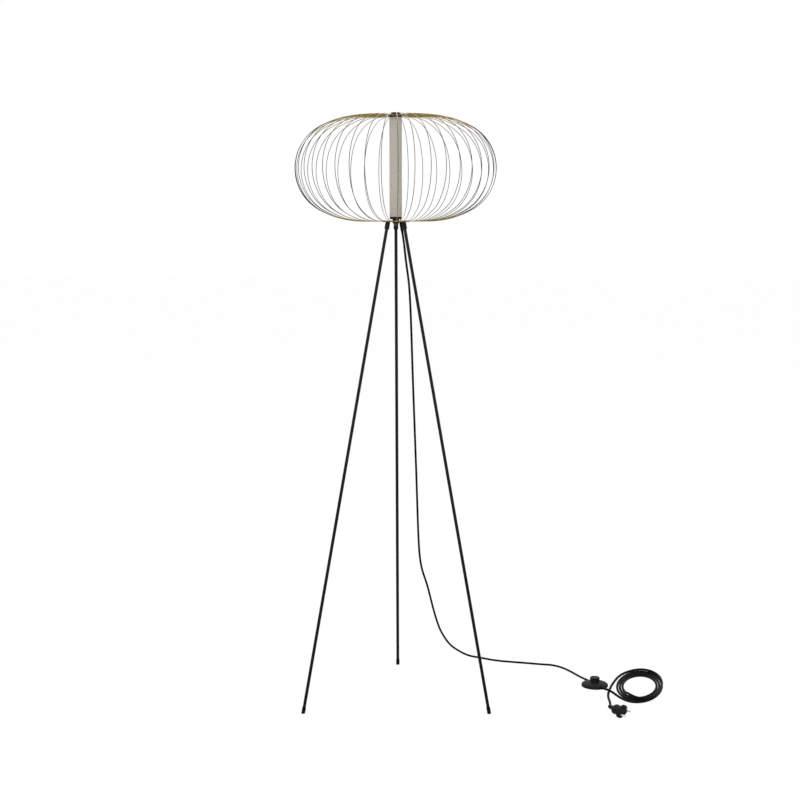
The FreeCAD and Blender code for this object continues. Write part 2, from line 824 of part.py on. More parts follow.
def make_button(here, base_high, hole):
    """The round push button: a cup with a collar under the cover's lip."""
    reach, stem = size("button_radius"), size("button_stem_radius")
    top, crown = size("button_top"), size("switch_dome_height")
    under = crown - size("switch_wall") - 0.6
    stem_low = base_high + 10.4
    body = turned("Button", [
        (reach - 2, under - 1.2), (hole + 1.4, under - 1.2), (hole + 1.4, under), (reach, under),
        (reach, top), (0, top), (0, stem_low), (stem, stem_low), (stem, top - 2.2),
        (reach - 2, top - 2.2)])
    rounded(body, 0.9, circle_at(reach, top))
    keep(placed(body, here), "switch_button")

    low = base_high.number + 0.2 + number("spring_wire_radius")
    high = top.number - 2.4 - number("spring_wire_radius")
    turns = int(number("spring_turns"))

    def on_spring(turn):
        angle = 2 * math.pi * turn
        around = number("spring_radius")
        return Vector(around * math.cos(angle), around * math.sin(angle),
                      low + (high - low) * turn / turns)

    stops = [index / 4 for index in range(4 * turns + 1)]
    edges, heading = biarc_route(on_spring, stops)
    solid, length = pipe(edges, heading, number("spring_wire_radius"))
    print("switch spring: %.0f mm of wire" % length)
    keep(placed(shaped("Spring", solid), here), "switch_return_spring")


def make_contacts(here, base_high, pin_radius):
    """The rotor on the base's pin, its contact bridge, fixed contacts and wire terminals."""
    low = base_high + 2.2
    body = turned("Rotor", [
        (pin_radius + 0.05, low), (5.0, low), (5.0, low + 1.6), (3.6, low + 1.6),
        (3.6, low + 4), (pin_radius + 0.05, low + 4)])
    keep(placed(body, here), "switch_rotor")

    bar = block("BridgeBar", 14, 3.4, 0.8)
    placed(bar, Vector(-7, -1.7, low.number - 0.8))
    eye = cylinder("BridgeEye", pin_radius + 0.05, 3)
    placed(eye, Vector(0, 0, low.number - 2))
    keep(placed(cut("Bridge", bar, eye), here), "switch_contact_bridge")

    blocks = []
    for index in range(4):
        spot = radial(0 + 90 * index + 25, 18.5, base_high.number + 0.05)
        terminal = block("Terminal%d" % index, 6.0, 5.0, 5.5)
        blocks.append(placed(terminal, spot + Vector(-3, -2.5, 0)))
        stud = cylinder("FixedContact%d" % index, 1.1, 1.0)
        blocks.append(placed(stud, radial(90 * index, 5.6, base_high.number + 0.05)))
    keep(placed(grouped("Terminals", blocks), here), "switch_terminals")


# ---------------------------------------------------------------- the coil of cord
COIL = Vector(number("coil_x"), number("coil_y"), 0)
CROSS_FROM, CROSS_TO = 2.985, 3.245
CLIMB_FROM, CLIMB_TO = 2.975, 3.055


def coil_point(turn):
    """The coil's centre line: three loops spiral in on the floor, and the last crosses them.

    The last loop climbs one layer, passes over the others to the outside, and lies on top of
    the outermost loop from there on.
    """
    angle = math.radians(number("coil_first_deg") + 360 * turn)
    width = number("coil_half_width") - number("coil_width_step") * turn
    length = number("coil_half_length") - number("coil_length_step") * turn
    across = smooth_step((turn - CROSS_FROM) / (CROSS_TO - CROSS_FROM))
    width += across * number("coil_width_step") * 3
    length += across * number("coil_length_step") * 3
    rise = smooth_step((turn - CLIMB_FROM) / (CLIMB_TO - CLIMB_FROM))
    along = Vector(math.sin(math.radians(number("coil_lean_deg"))),
                   math.cos(math.radians(number("coil_lean_deg"))), 0)
    side = Vector(along.y, -along.x, 0)
    flat = COIL + side * (width * math.cos(angle)) + along * (length * math.sin(angle))
    return flat + UP * (number("mains_cord_radius") + number("coil_layer_rise") * rise)


def make_coil():
    turns = number("coil_turns")
    steps = int(round(turns * 8))
    stops = [turns * index / steps for index in range(steps + 1)]
    edges, heading = biarc_route(coil_point, stops)
    solid, length = pipe(edges, heading, number("mains_cord_radius"))
    gap = least_gap(edges, number("mains_cord_radius"), 60)
    print("cord_coil: %.0f mm long, least gap to itself %.2f mm" % (length, gap))
    keep(placed(shaped("Coil", solid), AXIS), "cord_coil")


# ---------------------------------------------------------------- the plug
PLUG = Vector(number("plug_x"), number("plug_y"), number("plug_height"))
PLUG_TURN = Rotation(UP, number("plug_heading_deg")).multiply(
    Rotation(Vector(1, 0, 0), number("plug_roll_deg")))
PLUG_HEADING = PLUG_TURN.multVec(Vector(1, 0, 0))
RELIEF_TAIL = Vector(number("relief_tail_x"), number("relief_tail_y"), number("relief_tail_z"))
TAIL_HEADING = Vector(-0.12, -0.98, 0.055)
TAIL_HEADING.normalize()


def bezier(handles, share):
    """The point and the heading of a cubic curve at a share of its way."""
    a, b, c, d = handles
    left = 1 - share
    spot = a * left ** 3 + b * (3 * left * left * share) + c * (3 * left * share * share)
    spot += d * share ** 3
    heading = (b - a) * (left * left) + (c - b) * (2 * left * share) + (d - c) * (share * share)
    heading.normalize()
    return spot, heading


def rounded_section(along, wide, thick):
    """A closed outline across the plug at a distance along local X, with round ends."""
    half_wide, half_thick = wide / 2, thick / 2
    corner = 0.48 * min(wide, thick)
    flat_y, flat_z = half_wide - corner, half_thick - corner
    diagonal = corner * math.sqrt(0.5)
    edges = []
    for y, z in ((1, 1), (-1, 1), (-1, -1), (1, -1)):
        side = Vector(along, y * half_wide, z * flat_z)
        middle = Vector(along, y * (flat_y + diagonal), z * (flat_z + diagonal))
        crown = Vector(along, y * flat_y, z * half_thick)
        first, last = (side, crown) if y * z > 0 else (crown, side)
        if edges:
            edges.append(Part.LineSegment(edges[-1].valueAt(edges[-1].LastParameter),
                                          first).toShape())
        edges.append(Part.Arc(first, middle, last).toShape())
    start = edges[0].valueAt(edges[0].FirstParameter)
    end = edges[-1].valueAt(edges[-1].LastParameter)
    edges.append(Part.LineSegment(end, start).toShape())
    return Part.Wire(edges)


def make_plug():
    """A contoured two-pin plug that points along local X: a grip, a waist and a wide flange."""
    half = number("plug_length") / 2
    flange_back = half - number("flange_length")
    grip = Part.makeLoft([
        rounded_section(-half, 13, 12),
        rounded_section(-half + 5, 19, 15),
        rounded_section(-half + 11, 27, 18.5),
        rounded_section(-half + 16, 26.5, 18),
        rounded_section(-half + 22, 24.5, 17),
        rounded_section(flange_back + 1, 27, 18.5),
    ], True, False)
    wide, thick = number("flange_width"), number("flange_thick")
    flange = Part.makeLoft([
        rounded_section(flange_back, wide - 3, thick - 3),
        rounded_section(flange_back + 1.5, wide, thick),
        rounded_section(half - 1, wide, thick),
        rounded_section(half, wide - 2, thick - 2),
    ], True, True)
    body = shaped("PlugBody", grip.fuse(flange))
    here = AXIS + PLUG
    holes, pins = [], []
    outward = Rotation(UP, Vector(1, 0, 0))
    neck, wall = size("pin_neck_radius"), size("pin_neck_length")
    tip = wall + size("pin_length")
    for index, side in enumerate((-0.5, 0.5)):
        spot = Vector(half, side * number("pin_spacing"), 0)
        pin = turned("Pin%d" % index, [
            (0, -8), (neck, -8), (neck, wall), (size("pin_radius"), wall),
            (size("pin_radius"), tip), (0, tip)])
        pins.append(placed(pin, spot, outward))
        hole = cylinder("PinHole%d" % index, neck + 0.05, 20)
        holes.append(placed(hole, spot - Vector(8.1, 0, 0), outward))
    drilled = cut("Plug", body, fused("PlugHoles", holes))
    keep(placed(drilled, here, PLUG_TURN), "plug_body")
    keep(placed(grouped("Pins", pins), here, PLUG_TURN), "plug_pins")
    relief_end = PLUG - PLUG_HEADING * half
    handles = [RELIEF_TAIL, RELIEF_TAIL + TAIL_HEADING * 17, relief_end - PLUG_HEADING * 17,
               relief_end]
    rings = []
    for index in range(11):
        share = index / 10
        spot, heading = bezier(handles, share)
        radius = (number("mains_relief_tip_radius") * (1 - share)
                  + number("plug_relief_radius") * share)
        rings.append(Part.Wire([Part.makeCircle(radius, spot, heading)]))
    keep(placed(shaped("PlugRelief", Part.makeLoft(rings, True, True)), AXIS),
         "plug_strain_relief")


# ---------------------------------------------------------------- the cord's free stretches
FLOOR = number("cord_radius")
MAINS_FLOOR = number("mains_cord_radius")


def make_cords(gland_end):
    """The cord's routes round the tube's axis: lamp to switch, switch to coil, coil to plug."""
    arrive = rim_point(IN_HEADING * -1, number("switch_relief_out"))
    keep(cord_stretch("CordDrop", [
        gland_end,
        gland_end + GLAND_HEADING * 28,
        Vector(24.8, 8, 1136.3),
        Vector(33.3, 14, 1078),
        Vector(36.6, 19, 1018),
        Vector(38.8, 25, 957.8),
        Vector(42.3, 37, 840.9),
        Vector(46.4, 52, 722),
        Vector(51.3, 75, 586.6),
        Vector(54.2, 96, 488),
        Vector(57.3, 117, 393),
        Vector(60.5, 131, 343),
        Vector(66.5, 141.5, 303),
        Vector(80.6, 160, 259.3),
        Vector(90, 179, 217),
        Vector(99.3, 196, 175.8),
        Vector(111, 219, 131),
        Vector(121.1, 236, 102.5),
        Vector(143.3, 270, 58.7),
        Vector(170.2, 302, 30),
        Vector(200.3, 325, 8.2),
        Vector(232, 326, FLOOR),
        Vector(273.7, 298.3, FLOOR),
        Vector(321.6, 284.5, FLOOR),
        Vector(362.5, 274.6, FLOOR),
        Vector(402.8, 262.7, FLOOR),
        Vector(431, 258, FLOOR),
        Vector(457.3, 234.6, FLOOR),
        Vector(480, 192, FLOOR),
        arrive - IN_HEADING * 30 - UP * 1.4,
        arrive,
    ], FLOOR), "cord_lamp_to_switch")

    depart = rim_point(OUT_HEADING, number("switch_relief_out"))
    entry = coil_point(0)
    entry_heading = coil_point(0.0001) - entry
    entry_heading.normalize()
    keep(cord_stretch("CordLink", [
        depart,
        depart + OUT_HEADING * 12,
        Vector(557.5, 13.5, 10.7),
        Vector(565.5, 4, 8.7),
        Vector(572.5, -6, 5.6),
        entry - entry_heading * 12,
        entry,
    ], MAINS_FLOOR), "cord_switch_to_coil")

    turns = number("coil_turns")
    leave = coil_point(turns)
    leave_heading = leave - coil_point(turns - 0.0001)
    leave_heading.normalize()
    keep(cord_stretch("CordTail", [
        leave,
        leave + leave_heading * 20,
        Vector(603, 151, 6.2),
        Vector(588, 121, MAINS_FLOOR),
        Vector(574, 83, MAINS_FLOOR),
        Vector(563, 45, MAINS_FLOOR),
        Vector(554.5, 12, MAINS_FLOOR),
        Vector(550, -24, MAINS_FLOOR),
        RELIEF_TAIL - TAIL_HEADING * 28,
        RELIEF_TAIL,
    ], MAINS_FLOOR), "cord_coil_to_plug")


# ---------------------------------------------------------------- all the sub-parts
make_cage()
make_plates()
make_cap()
make_hub_stack()
make_tube()
make_lights()
make_driver()
make_legs()
gland_end = make_gland()
make_switch()
make_coil()
make_plug()
make_cords(gland_end)

# ---------------------------------------------------------------- check and write
doc.recompute()
broken = [item.Name for item in doc.Objects if {"Invalid", "Error"} & set(item.State)]
if broken:
    raise RuntimeError("failed objects: %s" % broken)
for item in pieces:
    shape = item.Shape
    if shape.isNull() or not shape.isValid() or not shape.Solids:
        raise RuntimeError("bad shape: " + item.Label)
    shape.exportStep("parts/%s.step" % item.Label)
    box = shape.BoundBox
    print("%-26s %3d solids  z %8.1f..%8.1f  volume %.0f"
          % (item.Label, len(shape.Solids), box.ZMin, box.ZMax, shape.Volume))
print("%d nodes" % len(pieces))
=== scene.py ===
"""Finishes, cords and studio for the wire cage floor lamp."""

import math

import bpy
from mathutils import Matrix, Vector


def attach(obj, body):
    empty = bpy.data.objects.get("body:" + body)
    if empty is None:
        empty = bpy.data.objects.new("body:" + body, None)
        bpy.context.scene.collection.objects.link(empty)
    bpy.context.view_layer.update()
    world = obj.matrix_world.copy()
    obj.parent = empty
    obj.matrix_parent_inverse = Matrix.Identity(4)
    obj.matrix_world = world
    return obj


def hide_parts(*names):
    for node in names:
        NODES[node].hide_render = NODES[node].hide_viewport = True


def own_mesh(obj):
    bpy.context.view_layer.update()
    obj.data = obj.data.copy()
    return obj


bl_info = {
    "name": "Wire Cage Floor Lamp",
    "version": (1, 0, 0),
    "blender": (4, 5, 0),
    "location": "View3D > Sidebar > Lamp",
    "description": ("Dresses a tripod floor lamp with a cage of brass wires, a cord, "
                    "a foot switch and a plug"),
    "category": "Object",
}

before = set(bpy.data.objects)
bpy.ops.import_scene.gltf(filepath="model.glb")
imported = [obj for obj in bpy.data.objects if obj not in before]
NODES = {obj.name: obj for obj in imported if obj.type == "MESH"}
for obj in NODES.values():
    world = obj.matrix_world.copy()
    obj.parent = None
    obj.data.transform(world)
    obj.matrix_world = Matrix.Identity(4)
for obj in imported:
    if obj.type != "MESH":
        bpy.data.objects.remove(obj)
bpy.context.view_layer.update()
MAIN_BODY = "lamp"
TUBE_AXIS = Vector((0, -0.012, 0))
WIRE_NODES = [name for name in NODES if name.startswith("cage_wires_")]


# ---------------------------------------------------------------- shader maths
class Number:
    """A value socket in a finish: +, - and * on it add Math nodes."""

    def __init__(self, finish, socket):
        self.finish = finish
        self.socket = socket

    def maths(self, operation, first, second):
        made = self.finish.node("ShaderNodeMath", {"operation": operation}, {0: first, 1: second})
        return Number(self.finish, made.outputs[0])

    def __add__(self, other):
        return self.maths("ADD", self, other)

    def __radd__(self, other):
        return self.maths("ADD", other, self)

    def __sub__(self, other):
        return self.maths("SUBTRACT", self, other)

    def __rsub__(self, other):
        return self.maths("SUBTRACT", other, self)

    def __mul__(self, other):
        return self.maths("MULTIPLY", self, other)


class Finish:
    """A material in the making: one Principled shader and the nodes that vary it."""

    def __init__(self, name, **fixed):
        self.material = bpy.data.materials.new(name)
        self.material.use_nodes = True
        self.tree = self.material.node_tree
        self.shader = self.tree.nodes["Principled BSDF"]
        for label, value in fixed.items():
            self.feed(self.shader.inputs[label.replace("_", " ")], value)

    def feed(self, socket, value):
        value = value.socket if isinstance(value, Number) else value
        if isinstance(value, bpy.types.NodeSocket):
            self.tree.links.new(value, socket)
        else:
            socket.default_value = value

    def node(self, kind, settings=None, inputs=None):
        """Adds a node, with its settings first and then its sockets' values or links."""
        made = self.tree.nodes.new(kind)
        for key, value in (settings or {}).items():
            if key == "stops":
                ramp = made.color_ramp.elements
                for index, (place, shade) in enumerate(value):
                    stop = ramp[index] if index < 2 else ramp.new(place)
                    stop.position = place
                    stop.color = shade
            else:
                setattr(made, key, value)
        for key, value in (inputs or {}).items():
            self.feed(made.inputs[key], value)
        return made

    def noise(self, scale, detail=2.0, stretch=(1, 1, 1)):
        """Soft random patches on the piece; scale is in patches a metre."""
        where = self.node("ShaderNodeTexCoord")
        laid = self.node("ShaderNodeMapping", None,
                         {"Vector": where.outputs["Object"], "Scale": stretch})
        made = self.node("ShaderNodeTexNoise", None,
                         {"Vector": laid.outputs[0], "Scale": scale, "Detail": detail})
        return Number(self, made.outputs[0])

    def height(self):
        """How high a point stands over the floor, in metres."""
        where = self.node("ShaderNodeTexCoord")
        parts = self.node("ShaderNodeSeparateXYZ", None, {0: where.outputs["Object"]})
        return Number(self, parts.outputs["Z"])

    def clipped(self, number):
        made = self.node("ShaderNodeClamp", None, {0: number})
        return Number(self, made.outputs[0])

    def mixed(self, share, first, second):
        """A colour between two colours."""
        made = self.node("ShaderNodeMix", {"data_type": "RGBA"}, {0: share, 6: first, 7: second})
        return made.outputs[2]

    def bumpy(self, height, strength, distance):
        made = self.node("ShaderNodeBump", None,
                         {"Height": height, "Strength": strength, "Distance": distance})
        self.feed(self.shader.inputs["Normal"], made.outputs[0])

    def done(self, **varied):
        for label, value in varied.items():
            self.feed(self.shader.inputs[label.replace("_", " ")], value)
        return self.material


def shade(colour, factor):
    """A colour made lighter or darker, with full alpha."""
    return tuple(min(1.0, part * factor) for part in colour[:3]) + (1.0,)


def brass_with_painted_reflection(looks):
    """Lacquered brass of the wires and plates, its colours darkened as painted dark reflection:
    gold near the plates, greyer round the waist where the painted dark reflection is strongest.
    """
    finish = Finish("brass_with_painted_reflection", Metallic=0.85, Specular_IOR_Level=0.2)
    cloud = finish.noise(9.0, 4.0)
    fine = finish.noise(260.0, 2.0)
    rise = finish.height()
    # near_top and near_low mark the plain gold by the plates; between them the wires take the
    # painted dark reflection.
    near_top = finish.clipped((rise - 1.435) * 20.0)
    near_low = finish.clipped((1.264 - rise) * 30.0)
    gold = finish.clipped(near_top + near_low)
    # Painted dark reflection round the waist, with random tone from the cloud.
    waist_painted_reflection = finish.mixed(cloud, shade(looks.brass_painted_dark_reflection, 0.7), shade(looks.brass_painted_dark_reflection, 1.25))
    bright = finish.mixed(cloud, shade(looks.brass, 0.8), shade(looks.brass, 1.1))
    finish.bumpy(fine, 0.08, 0.0002)
    return finish.done(Base_Color=finish.mixed(gold, waist_painted_reflection, bright), Roughness=0.24 + cloud * 0.14)


def cap_bronze_painted_reflection(looks):
    """Polished bronze of the cap, the boss and the tube's ends, with fine turning marks; its
    near-black colour is a painted dark reflection.
    """
    finish = Finish("cap_bronze_painted_reflection", Specular_IOR_Level=0.08)
    rings = finish.noise(900.0, 1.0, (0.15, 0.15, 4.0))
    cloud = finish.noise(40.0, 3.0)
    # Painted dark reflection, with random tone from the cloud.
    colour = finish.mixed(cloud, shade(looks.bronze, 0.6), shade(looks.bronze, 1.4))
    finish.bumpy(rings, 0.12, 0.0001)
    return finish.done(Base_Color=colour, Roughness=0.2 + rings * 0.12)


def black_leg_paint(looks):
    """Satin black powder coat with the faintest cloud of wear, and painted light making it paler
    towards the top.
    """
    finish = Finish("black_leg_paint", Specular_IOR_Level=0.07)
    grain = finish.noise(1500.0, 2.0)
    worn = finish.noise(14.0, 4.0)
    # Painted light: the legs are painted paler higher up, where more light falls on them.
    rise = finish.clipped(finish.height() * 0.8)
    low = finish.mixed(worn, shade(looks.leg, 0.6), shade(looks.leg, 1.1))
    painted_lit_top = finish.mixed(worn, shade(looks.leg, 1.6), shade(looks.leg, 3.0))
    finish.bumpy(grain, 0.25, 0.00012)
    return finish.done(Base_Color=finish.mixed(rise, low, painted_lit_top), Roughness=0.34 + grain * 0.14)


def frosted_diffuser(looks):
    """Frosted tube wall: an even grey-beige with the faintest grain along it."""
    finish = Finish("frosted_diffuser", Specular_IOR_Level=0.45, Subsurface_Weight=0.15,
                    Subsurface_Radius=(0.004, 0.004, 0.003))
    grain = finish.noise(700.0, 2.0, (1, 1, 0.05))
    drift = finish.noise(6.0, 2.0)
    colour = finish.mixed(drift, shade(looks.tube, 0.94), shade(looks.tube, 1.04))
    finish.bumpy(grain, 0.06, 0.0002)
    return finish.done(Base_Color=colour, Roughness=0.32 + grain * 0.12)


def pale_moulding(looks):
    """Pale plastic of the boards and the switch's rotor."""
    finish = Finish("pale_moulding", Specular_IOR_Level=0.45)
    grain = finish.noise(1100.0, 3.0)
    drift = finish.noise(30.0, 2.0)
    colour = finish.mixed(drift, shade(looks.moulding, 0.92), shade(looks.moulding, 1.05))
    finish.bumpy(grain, 0.18, 0.0001)
    return finish.done(Base_Color=colour, Roughness=0.42 + grain * 0.14)


def black_cord_sheath(looks):
    """Black sheath of the cord, its outlet and its reliefs: a soft sheen with slight waves."""
    finish = Finish("black_cord_sheath", Specular_IOR_Level=0.04)
    wave = finish.noise(120.0, 2.0)
    grain = finish.noise(2200.0, 2.0)
    colour = finish.mixed(wave, shade(looks.cord, 0.7), shade(looks.cord, 1.5))
    finish.bumpy(grain, 0.03, 0.0001)
    return finish.done(Base_Color=colour, Roughness=0.46 + wave * 0.06)


def grained_black_plastic(looks):
    """Spark-eroded grain on the foot switch, the plug and the driver's components."""
    finish = Finish("grained_black_plastic", Specular_IOR_Level=0.08)
    grain = finish.noise(1400.0, 3.0)
    dust = finish.noise(55.0, 4.0)
    colour = finish.mixed(finish.clipped(dust * 2.0 - 0.6),
                          shade(looks.plastic, 0.8), shade(looks.plastic, 1.8))
    finish.bumpy(grain, 0.2, 0.00015)
    return finish.done(Base_Color=colour, Roughness=0.40 + grain * 0.18)


def soft_black_rubber(looks):
    """Matt rubber of the foot tips, the pads and the inner leads."""
    finish = Finish("soft_black_rubber", Specular_IOR_Level=0.04)
    grain = finish.noise(900.0, 4.0)
    colour = finish.mixed(grain, shade(looks.cord, 0.8), shade(looks.cord, 1.7))
    finish.bumpy(grain, 0.3, 0.0002)
    return finish.done(Base_Color=colour, Roughness=0.62 + grain * 0.2)


def darkened_steel():
    """Darkened steel of the rod, the nut, the studs, the screws and the spring."""
    finish = Finish("darkened_steel", Metallic=1.0)
    brushed = finish.noise(500.0, 3.0, (1, 1, 0.1))
    colour = finish.mixed(brushed, (0.07, 0.06, 0.05, 1), (0.13, 0.115, 0.10, 1))
    finish.bumpy(brushed, 0.1, 0.0001)
    return finish.done(Base_Color=colour, Roughness=0.26 + brushed * 0.2)


def extruded_aluminium():
    """Extruded aluminium core, with drawn lines along it."""
    finish = Finish("extruded_aluminium", Metallic=1.0)
    lines = finish.noise(1200.0, 2.0, (1, 1, 0.02))
    colour = finish.mixed(lines, (0.60, 0.60, 0.61, 1), (0.78, 0.78, 0.79, 1))
    finish.bumpy(lines, 0.15, 0.0001)
    return finish.done(Base_Color=colour, Roughness=0.3 + lines * 0.2)


def nickel_contact():
    """Nickel-plated brass of the plug's pins and the switch's contacts."""
    finish = Finish("nickel_contact", Metallic=1.0)
    smear = finish.noise(180.0, 3.0)
    colour = finish.mixed(smear, (0.62, 0.60, 0.55, 1), (0.80, 0.78, 0.73, 1))
    return finish.done(Base_Color=colour, Roughness=0.16 + smear * 0.18)


def light_chip():
    """Yellow phosphor of the light chips."""
    finish = Finish("light_chip", Specular_IOR_Level=0.5)
    spot = finish.noise(800.0, 2.0)
    colour = finish.mixed(spot, (0.85, 0.66, 0.18, 1), (0.95, 0.82, 0.38, 1))
    return finish.done(Base_Color=colour, Roughness=0.25 + spot * 0.2)


def circuit_board():
    """Green solder mask with faint tracks."""
    finish = Finish("circuit_board", Specular_IOR_Level=0.5)
    tracks = finish.noise(420.0, 1.0)
    colour = finish.mixed(finish.clipped(tracks * 8.0 - 3.6),
                          (0.02, 0.12, 0.05, 1), (0.05, 0.22, 0.09, 1))
    return finish.done(Base_Color=colour, Roughness=0.3 + tracks * 0.2)


# ---------------------------------------------------------------- helpers
def looks_of(context):
    return context.scene.lamp_looks


def deselect_all():
    if bpy.context.mode != "OBJECT":
        bpy.ops.object.mode_set(mode="OBJECT")
    bpy.ops.object.select_all(action="DESELECT")


def finish_nodes(material, *names):
    """Gives CAD nodes a finish."""
    for name in names:
        mesh = NODES[name].data
        mesh.materials.clear()
        mesh.materials.append(material)


def from_lamp(x, y, z):
    """A point given in metres from the tube's axis, in the lamp's own frame."""
    return Vector((x, y, z)) + TUBE_AXIS


def cord_curve(name, points, diameter, material):
    """A smooth round cord on control points given from the tube's axis."""
    line = bpy.data.curves.new(name, "CURVE")
    line.dimensions = "3D"
    line.bevel_depth = diameter / 2
    line.bevel_resolution = 8
    line.resolution_u = 10
    line.use_fill_caps = True
    spline = line.splines.new("NURBS")
    spline.points.add(len(points) - 1)
    for place, point in zip(spline.points, points):
        place.co = (*from_lamp(*point), 1)
    spline.order_u = 3
    spline.use_endpoint_u = True
    line.materials.append(material)
    made = bpy.data.objects.new(name, line)
    bpy.context.scene.collection.objects.link(made)
    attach(made, MAIN_BODY)
    return made


RIB_PROFILE = (1.0, 0.94, 0.94, 1.0)
RING_POINTS = 28


def ribbed_sleeve(name, start, heading, length, wide, narrow, ribs, material, node):
    """A tapered strain relief with ribs, drawn up ring by ring from a disc."""
    deselect_all()
    turn = Vector(heading).to_track_quat("Z", "Y")
    bpy.ops.mesh.primitive_circle_add(vertices=RING_POINTS, radius=wide, fill_type="NGON",
                                      location=(0, 0, 0))
    made = bpy.context.active_object
    made.name = name
    made.data.name = name
    bpy.ops.object.mode_set(mode="EDIT")
    bpy.ops.mesh.select_all(action="SELECT")
    now = wide
    rings = ribs * len(RIB_PROFILE)
    step = length / rings
    for index in range(rings):
        share = (index + 1) / rings
        base = wide * (1 - share) + narrow * share
        target = base * RIB_PROFILE[index % len(RIB_PROFILE)]
        bpy.ops.mesh.extrude_region_move(TRANSFORM_OT_translate={"value": (0, 0, step)})
        bpy.ops.transform.resize(value=(target / now, target / now, 1),
                                 center_override=(0, 0, (index + 1) * step))
        now = target
    bpy.ops.mesh.select_all(action="SELECT")
    bpy.ops.mesh.normals_make_consistent(inside=False)
    bpy.ops.object.mode_set(mode="OBJECT")
    made.data.transform(Matrix.Translation(from_lamp(*start)) @ turn.to_matrix().to_4x4())
    bpy.ops.object.shade_smooth_by_angle(angle=math.radians(50))
    made.data.materials.append(material)
    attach(made, MAIN_BODY)
    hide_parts(node)


# ---------------------------------------------------------------- the cord's route
DROP_START = (0.01632, 0.00371, 1.2058)
DROP_END = (0.50736, 0.12632, 0.0048)
LINK_START = (0.54742, 0.03693, 0.00791)
FLOOR = 0.0028
MAINS_FLOOR = 0.0032

DROP_ROUTE = [
    DROP_START,
    (0.0209, 0.0047, 1.1782),
    (0.0248, 0.008, 1.1363),
    (0.0333, 0.014, 1.078),
    (0.0366, 0.019, 1.018),
    (0.0388, 0.025, 0.9578),
    (0.0423, 0.037, 0.8409),
    (0.0464, 0.052, 0.722),
    (0.0513, 0.075, 0.5866),
    (0.0542, 0.096, 0.488),
    (0.0573, 0.117, 0.393),
    (0.0605, 0.131, 0.343),
    (0.0665, 0.1415, 0.303),
    (0.0806, 0.160, 0.2593),
    (0.090, 0.179, 0.217),
    (0.0993, 0.196, 0.1758),
    (0.111, 0.219, 0.131),
    (0.1211, 0.236, 0.1025),
    (0.1433, 0.270, 0.0587),
    (0.1702, 0.302, 0.030),
    (0.2003, 0.325, 0.0082),
    (0.232, 0.326, FLOOR),
    (0.2737, 0.2983, FLOOR),
    (0.3216, 0.2845, FLOOR),
    (0.3625, 0.2746, FLOOR),
    (0.4028, 0.2627, FLOOR),
    (0.431, 0.258, FLOOR),
    (0.4573, 0.2346, FLOOR),
    (0.480, 0.192, FLOOR),
    (0.4948, 0.1536, 0.0034),
    DROP_END,
]

LINK_ROUTE = [
    LINK_START,
    (0.55215, 0.02605, 0.00968),
    (0.5575, 0.0135, 0.0107),
    (0.5655, 0.004, 0.0087),
    (0.5725, -0.006, 0.0056),
    (0.57923, -0.0154, MAINS_FLOOR),
]

TAIL_ROUTE = [
    (0.62278, 0.16755, 0.0101),
    (0.603, 0.151, 0.0062),
    (0.588, 0.121, MAINS_FLOOR),
    (0.574, 0.083, MAINS_FLOOR),
    (0.563, 0.045, MAINS_FLOOR),
    (0.5545, 0.012, MAINS_FLOOR),
    (0.550, -0.024, MAINS_FLOOR),
    (0.5504, -0.05625, 0.00344),
    (0.547, -0.084, 0.005),
]

COIL_CENTRE = (0.6445, 0.073)
COIL_LEAN = math.radians(13.5)
COIL_TURNS = 3.69
COIL_STEPS = 24
COIL_FIRST_DEG = 235
COIL_HALF_WIDTH, COIL_HALF_LENGTH = 0.0628, 0.1356
COIL_WIDTH_STEP, COIL_LENGTH_STEP = 0.0069, 0.017
COIL_LAYER_RISE = 0.0069
LOOPS_CROSSED = 3
CROSS_FROM, CROSS_SPAN = 2.95, 0.26
CLIMB_FROM, CLIMB_SPAN = 2.965, 0.08


def smooth_step(share):
    share = min(max(share, 0.0), 1.0)
    return share * share * (3 - 2 * share)


def coil_point(turn):
    """The coil: three loops spiral in on the floor, then one climbs and crosses to the outside."""
    angle = math.radians(COIL_FIRST_DEG + 360 * turn)
    outward = LOOPS_CROSSED * smooth_step((turn - CROSS_FROM) / CROSS_SPAN) - turn
    width = COIL_HALF_WIDTH + COIL_WIDTH_STEP * outward
    length = COIL_HALF_LENGTH + COIL_LENGTH_STEP * outward
    rise = COIL_LAYER_RISE * smooth_step((turn - CLIMB_FROM) / CLIMB_SPAN)
    u, v = width * math.cos(angle), length * math.sin(angle)
    lean, upright = math.sin(COIL_LEAN), math.cos(COIL_LEAN)
    return (COIL_CENTRE[0] + u * upright + v * lean,
            COIL_CENTRE[1] - u * lean + v * upright, MAINS_FLOOR + rise)


